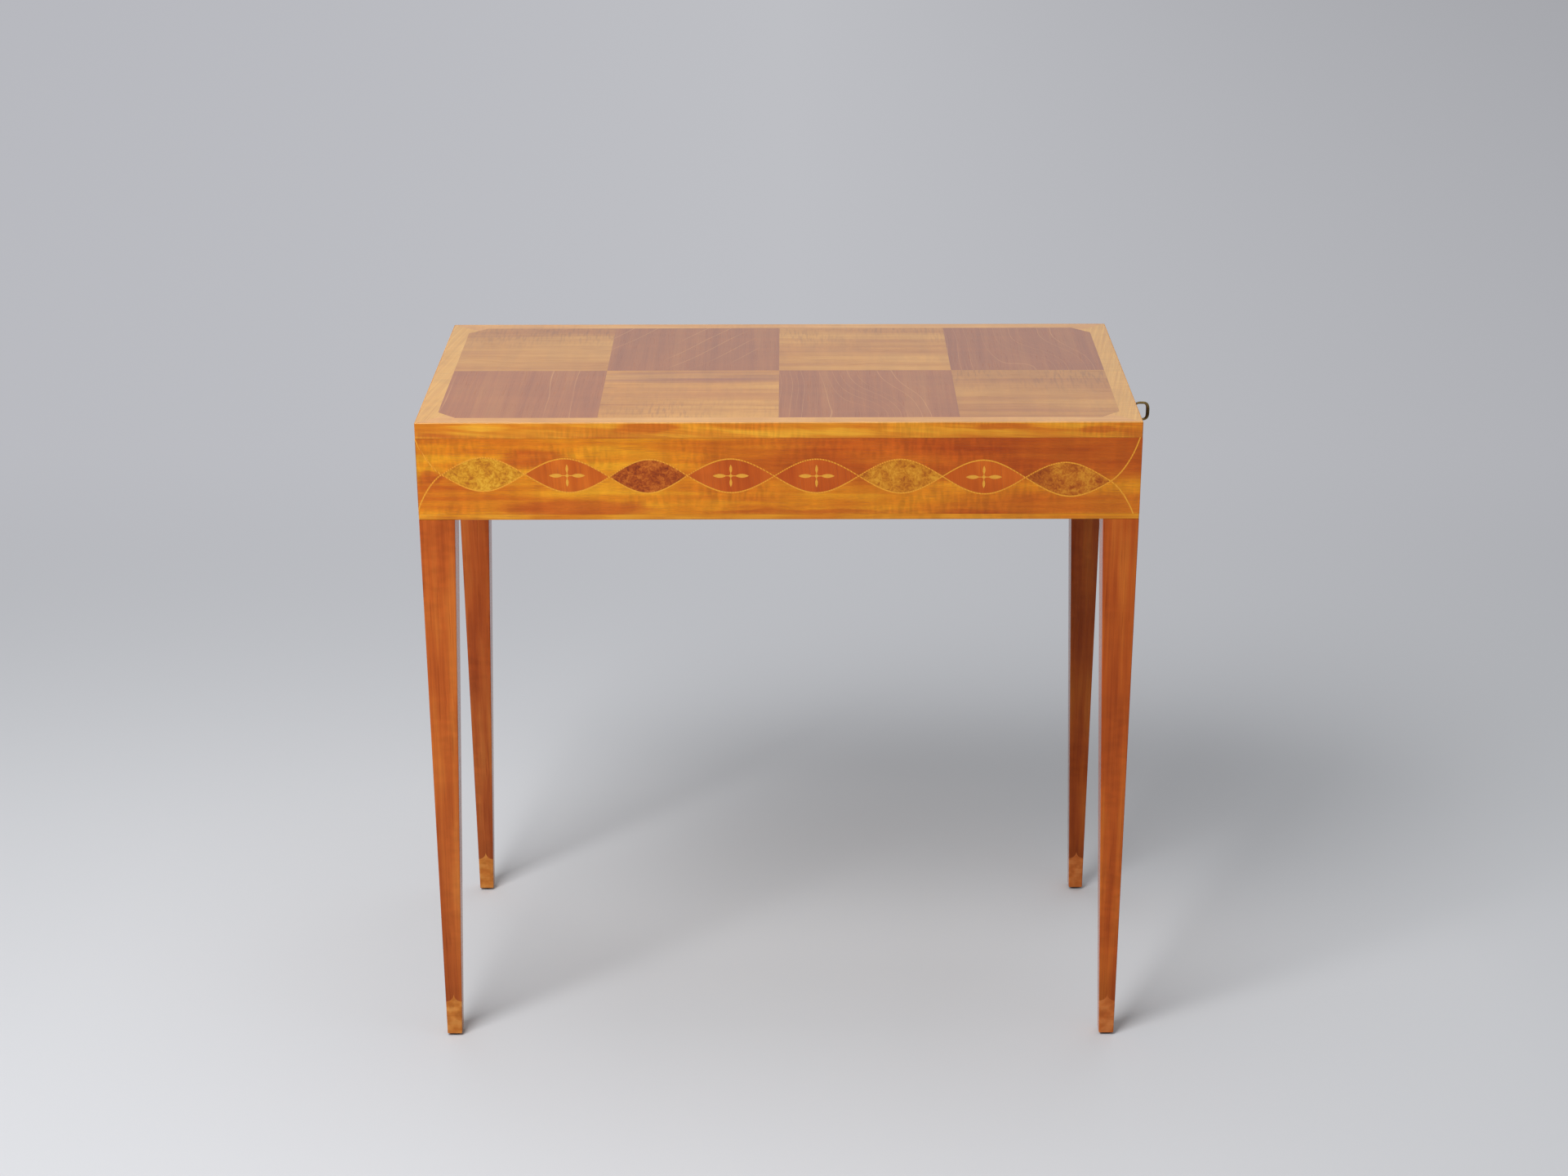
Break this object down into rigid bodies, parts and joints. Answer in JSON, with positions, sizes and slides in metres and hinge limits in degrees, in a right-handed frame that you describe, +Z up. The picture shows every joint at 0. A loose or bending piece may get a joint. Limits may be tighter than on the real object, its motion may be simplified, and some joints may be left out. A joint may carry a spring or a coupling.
{
  "type": "chess table",
  "caption": "Narrow inlaid chess table on tapered legs, with a lockable drawer for the men in its right-hand end.",
  "frame": {"origin": "on the floor, under the middle of the whole object's box; the table itself is centred 16.5 mm towards -X, because the key stands out on +X", "axes": "+X along the table towards the drawer end, +Y towards the back, +Z up"},
  "size_m": [0.833, 0.4, 0.768],
  "materials": {
    "leg_mahogany": "glossy varnish",
    "shoe_veneer": "glossy varnish",
    "glide_plastic": "matt black",
    "screw_steel": "plain",
    "key_brass": "aged",
    "lock_brass": "satin",
    "crossbanding": "glossy varnish, figured crosswise",
    "frame_veneer": "glossy varnish",
    "light_veneer": "glossy varnish, rippled",
    "dark_veneer": "glossy varnish",
    "field_veneer": "glossy varnish, figured",
    "boxwood": "glossy varnish",
    "burl_veneer": "glossy varnish, burled",
    "lens_veneer": "glossy varnish",
    "strip_wood": "glossy varnish",
    "plywood": "plain",
    "carcass_wood": "waxed"
  },
  "bodies": {
    "case": {"back_rail": "carcass_wood", "border_back": "frame_veneer", "border_front": "frame_veneer", "border_left": "frame_veneer", "border_right": "frame_veneer", "bottom_panel": "plywood", "burl_lenses_back": "burl_veneer", "burl_lenses_front": "burl_veneer", "cross_bearer": "carcass_wood", "cross_lenses_back": "lens_veneer", "cross_lenses_front": "lens_veneer", "dark_squares": "dark_veneer", "drawer_rail": "carcass_wood", "edge_band_back": "crossbanding", "edge_band_front": "crossbanding", "edge_band_left": "crossbanding", "edge_band_right": "crossbanding", "field_veneer_back": "field_veneer", "field_veneer_front": "field_veneer", "field_veneer_left": "field_veneer", "front_rail": "carcass_wood", "kickers": "carcass_wood", "left_end_rail": "carcass_wood", "leg_back_left": "leg_mahogany", "leg_back_right": "leg_mahogany", "leg_front_left": "leg_mahogany", "leg_front_right": "leg_mahogany", "leg_glides": "glide_plastic", "leg_screws": "screw_steel", "leg_shoes": "shoe_veneer", "lenses_left": "lens_veneer", "light_squares": "light_veneer", "runner_back": "carcass_wood", "runner_front": "carcass_wood", "strike_plate": "lock_brass", "stringing_back": "boxwood", "stringing_front": "boxwood", "stringing_left": "boxwood", "strip_back": "strip_wood", "strip_front": "strip_wood", "strip_left": "strip_wood", "strip_right": "strip_wood", "top_core": "carcass_wood", "top_screws": "screw_steel"},
    "drawer": {"drawer_front": "carcass_wood", "drawer_side_front": "carcass_wood", "drawer_side_back": "carcass_wood", "drawer_back": "carcass_wood", "drawer_bottom": "plywood", "drawer_divider": "carcass_wood", "field_veneer_drawer": "field_veneer", "stringing_drawer": "boxwood", "lenses_drawer": "lens_veneer", "lock_case": "lock_brass", "lock_screws": "screw_steel", "escutcheon": "lock_brass"},
    "key": {"key": "key_brass"},
    "bolt": {"lock_bolt": "lock_brass"}
  },
  "joints": [
    {"name": "drawer_slide", "type": "slide", "parent": "case", "child": "drawer", "axis": [1, 0, 0], "range_m": [0, 0.32]},
    {"name": "key_turn", "type": "hinge", "parent": "drawer", "child": "key", "pos_m": [0.3835, 0, 0.718], "axis": [1, 0, 0], "range_deg": [0, 180]},
    {"name": "bolt_rise", "type": "slide", "parent": "drawer", "child": "bolt", "axis": [0, 0, 1], "range_m": [0, 0.007]}
  ],
  "couplings": [
    {"joint": "bolt_rise", "follows": "key_turn", "m_per_rad": 0.0022}
  ]
}
